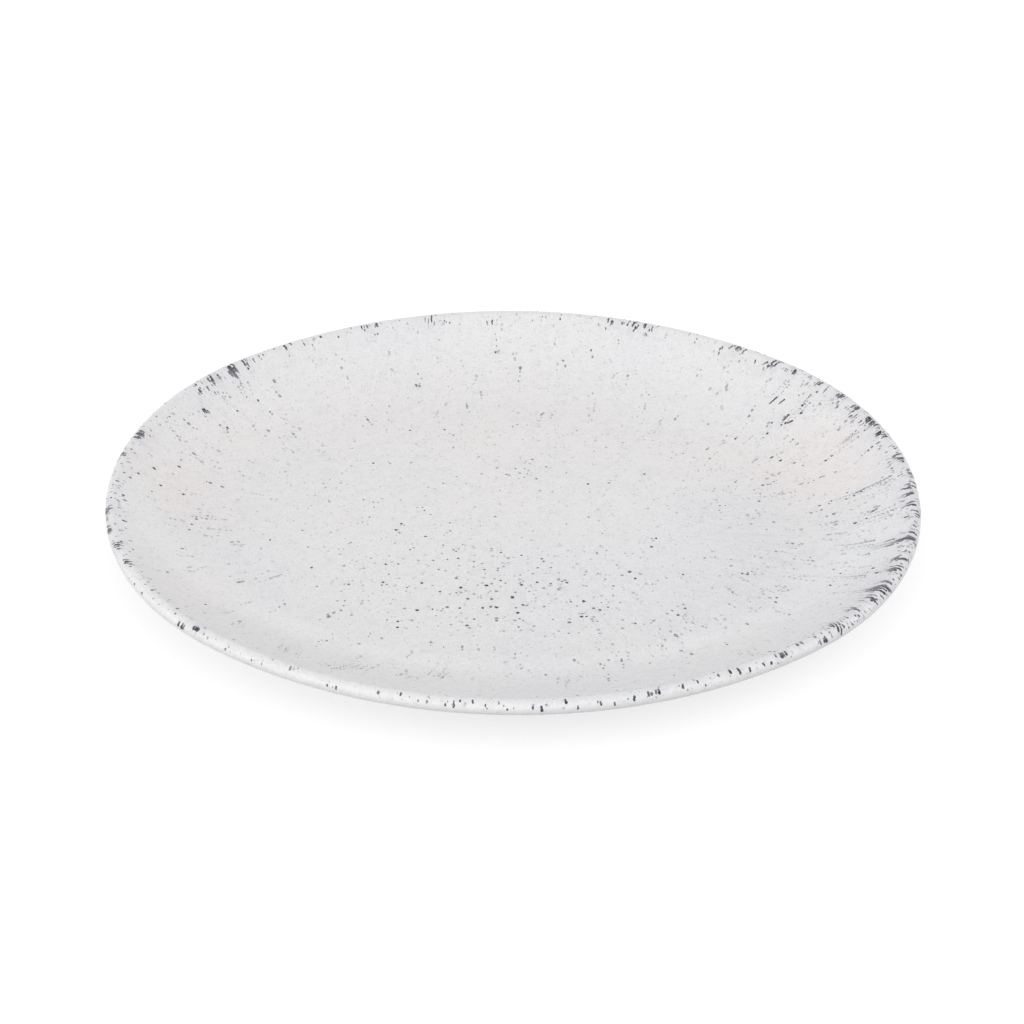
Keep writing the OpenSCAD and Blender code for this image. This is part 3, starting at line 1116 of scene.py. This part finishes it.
# %% [markdown]
# Where the coat is thin the clay shows through as a warm tint. The photo has that mostly on the left
# wall, along the far edge of the well and at the right end.

# %% Warm patches
WARM_PATCHES = (
    # x, y, spread, strength
    (-134, 16, 16, 1.0), (-122, 4, 14, 0.9), (-122, -52, 14, 0.6), (-110, 50, 28, 0.5),
    (-60, 66, 22, 0.4), (-10, 62, 26, 0.6), (30, 60, 22, 0.4), (88, 42, 16, 1.0), (60, 48, 18, 0.4),
    (125, 32, 22, 1.4), (-60, 20, 50, 0.25), (20, 25, 50, 0.25), (-40, 105, 40, 0.15),
)


def warmth_at(place):
    """How much the clay warms the glaze at a place, from 0 to 1."""
    return min(1.0, patch_sum(place, WARM_PATCHES))


note_on_coat("warmth", warmth_at)

# %% [markdown]
# The foot ring is wiped before the firing so that the plate doesn't stick to the kiln shelf. Its face
# is bare stoneware: matt, buff, with sand grains in it. The CAD node already has the right shape, so it
# only gets a finish.

# %% Bare clay of the foot
CLAY_BUFF = (0.62, 0.52, 0.40, 1)
CLAY_GREY = (0.50, 0.43, 0.35, 1)
CLAY_GRAIN = (0.20, 0.15, 0.11, 1)

CLAY_PATCH_SIZE = 9 * MM
CLAY_PATCH_RANGE = (0.35, 0.65)
CLAY_ROUGHNESS = (0.75, 0.95)
SAND_GRAINS = (1.5 * MM, 0.3 * MM, 0.5)
SAND_SHARE = 0.7
GRIT_SIZE = 0.5 * MM
GRIT_DEPTH = 0.05 * MM

bare_clay, work, shader, place = new_finish("bare_clay")
body_tone = noise(work, place, CLAY_PATCH_SIZE, 4.0, 0.6)
grit = noise(work, place, GRIT_SIZE)
colour = blend(work, ramp(work, body_tone, *CLAY_PATCH_RANGE), CLAY_BUFF, CLAY_GREY)
sand = work.math("MULTIPLY", grains(work, place, *SAND_GRAINS), SAND_SHARE)
work.feed(shader.inputs["Base Color"], blend(work, sand, colour, CLAY_GRAIN))
work.feed(shader.inputs["Roughness"], ramp(work, grit, *MIDDLE_RANGE, *CLAY_ROUGHNESS))
bumped(work, shader, ((grit, GRIT_DEPTH),))
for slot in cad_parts["fired_body"].material_slots:
    slot.material = bare_clay
print("bare clay on fired_body")

# %% [markdown]
# The studio is a white sheet under soft light. The floor adds some white of its own for the camera and
# for reflections, the more the further it is from the plate, so that it ends up as white as the photo's
# ground and still keeps a faint shadow. From below it is open, so that the underside can be looked at.

# %% The floor
FLOOR_SIZE = 6.0
FLOOR_WHITE = 0.46
LIFT_AT_PLATE = 0.64
LIFT_FAR_OFF = 1.0
LIFT_STARTS = 0.35
LIFT_FULL = 1.0

floor_mesh = bpy.data.meshes.new("floor")
half_floor = FLOOR_SIZE / 2
floor_corners = [(x * half_floor, y * half_floor, 0) for x, y in ((-1, -1), (1, -1), (1, 1), (-1, 1))]
floor_mesh.from_pydata(floor_corners, [], [(0, 1, 2, 3)])
floor = bpy.data.objects.new("floor", floor_mesh)
bpy.context.scene.collection.objects.link(floor)


def seen_directly(work):
    """1 for rays from the camera and for reflections and glass, 0 for rays that light things."""
    path = work.add("ShaderNodeLightPath").outputs
    seen = work.math("MAXIMUM", path["Is Camera Ray"], path["Is Glossy Ray"])
    return work.math("MAXIMUM", seen, path["Is Transmission Ray"])


paper = bpy.data.materials.new("paper_floor")
paper.use_nodes = True
paper.node_tree.nodes.clear()
work = Bench(paper.node_tree)
matt = work.add("ShaderNodeBsdfDiffuse", {"Color": (FLOOR_WHITE, FLOOR_WHITE, FLOOR_WHITE, 1)}).outputs[0]
place = work.add("ShaderNodeTexCoord").outputs["Object"]
far_off = work.add("ShaderNodeVectorMath", {0: place}, operation="LENGTH").outputs["Value"]
glow = ramp(work, far_off, LIFT_STARTS, LIFT_FULL, LIFT_AT_PLATE, LIFT_FAR_OFF)
seen_glow = work.math("MULTIPLY", seen_directly(work), glow)
lift = work.add("ShaderNodeEmission", {"Strength": seen_glow}).outputs[0]
lit = work.add("ShaderNodeAddShader", {0: matt, 1: lift}).outputs[0]
back = work.add("ShaderNodeNewGeometry").outputs["Backfacing"]
open_below = work.add("ShaderNodeBsdfTransparent").outputs[0]
one_sided = work.add("ShaderNodeMixShader", {0: back, 1: lit, 2: open_below}).outputs[0]
work.add("ShaderNodeOutputMaterial", {"Surface": one_sided})
floor_mesh.materials.append(paper)
print("floor of %.0f m" % FLOOR_SIZE)

# %% [markdown]
# An even sky gives more than half of the light, and five soft boxes shape the rest. Each box is named
# by its share of the light on a flat sheet where the plate stands. The shares and the sky come to a
# little over one, so a colour renders a little lighter than it is written. Seen from the plate no two
# boxes overlap, because their mirror images in the glaze would add up to plain white.

# %% Sky and lamps
SKY_SHARE = 0.625
SKY_COLOUR = (0.985, 0.99, 1.0, 1)
WARM_LIGHT = (1.0, 0.995, 0.985)
PLAIN_LIGHT = (1.0, 1.0, 1.0)
COOL_LIGHT = (0.98, 0.99, 1.0)

world = bpy.data.worlds.new("studio")
bpy.context.scene.world = world
world.use_nodes = True
world.node_tree.nodes.clear()
work = Bench(world.node_tree)
sky = work.add("ShaderNodeBackground", {"Color": SKY_COLOUR, "Strength": SKY_SHARE}).outputs[0]
white = work.add("ShaderNodeBackground", {"Color": (1, 1, 1, 1), "Strength": 1.0}).outputs[0]
both = work.add("ShaderNodeMixShader", {0: seen_directly(work), 1: sky, 2: white}).outputs[0]
work.add("ShaderNodeOutputWorld", {"Surface": both})


def softbox(name, azimuth, elevation, distance, width, height, share, colour):
    """A rectangular lamp that faces the plate, by the share of a flat sheet's light that it gives."""
    side = math.radians(azimuth)
    up = math.radians(elevation)
    place = distance * Vector((math.cos(up) * math.sin(side), -math.cos(up) * math.cos(side), math.sin(up)))
    lamp = bpy.data.lights.new(name, "AREA")
    lamp.shape = "RECTANGLE"
    lamp.size = width
    lamp.size_y = height
    lamp.energy = share * math.pi ** 2 * distance ** 2 / math.sin(up)
    lamp.color = colour
    holder = bpy.data.objects.new(name, lamp)
    holder.location = place
    holder.rotation_euler = place.to_track_quat("Z", "Y").to_euler()
    bpy.context.scene.collection.objects.link(holder)
    print("%s: %.0f W" % (name, lamp.energy))


# name, azimuth from the camera's side to the right, elevation, distance, width, height, share, colour
softbox("front_high_box", -5, 54, 1.8, 2.2, 1.1, 0.17, WARM_LIGHT)
softbox("front_low_box", -5, 20, 1.8, 2.0, 1.0, 0.084, WARM_LIGHT)
softbox("left_box", -75, 20, 1.5, 2.0, 0.95, 0.115, PLAIN_LIGHT)
softbox("right_box", 85, 34, 1.8, 2.2, 1.2, 0.13, PLAIN_LIGHT)
softbox("back_strip", 180, 20.5, 1.6, 2.4, 0.3, 0.03, COOL_LIGHT)

# %% [markdown]
# The camera stands in front of the plate and looks down at it from the height that the foreshortened
# round specks give. Its distance and lens are a matched pair: they keep the plate's size in the picture
# and set how much nearer the front lip looks than the back one.

# %% The camera
CAMERA_ELEVATION = math.radians(37.65)
CAMERA_DISTANCE = 0.98
CAMERA_LENS = 87.65
CAMERA_SIDE = -0.47 * MM
CAMERA_ROLL = math.radians(0.43)
AIM_HEIGHT = 13.4 * MM
SENSOR_WIDTH = 36
NEAREST_SEEN = 0.05

lens_data = bpy.data.cameras.new("camera")
lens_data.lens = CAMERA_LENS
lens_data.sensor_width = SENSOR_WIDTH
lens_data.clip_start = NEAREST_SEEN
camera = bpy.data.objects.new("camera", lens_data)
bpy.context.scene.collection.objects.link(camera)
sight = Vector((0, -math.cos(CAMERA_ELEVATION), math.sin(CAMERA_ELEVATION)))
camera.location = Vector((CAMERA_SIDE, 0, AIM_HEIGHT)) + CAMERA_DISTANCE * sight
camera.rotation_euler = (Quaternion(sight, CAMERA_ROLL) @ sight.to_track_quat("Z", "Y")).to_euler()
bpy.context.scene.camera = camera
bpy.context.scene.view_settings.view_transform = "Standard"
print("camera %.2f m away, %.1f mm lens" % (CAMERA_DISTANCE, CAMERA_LENS))
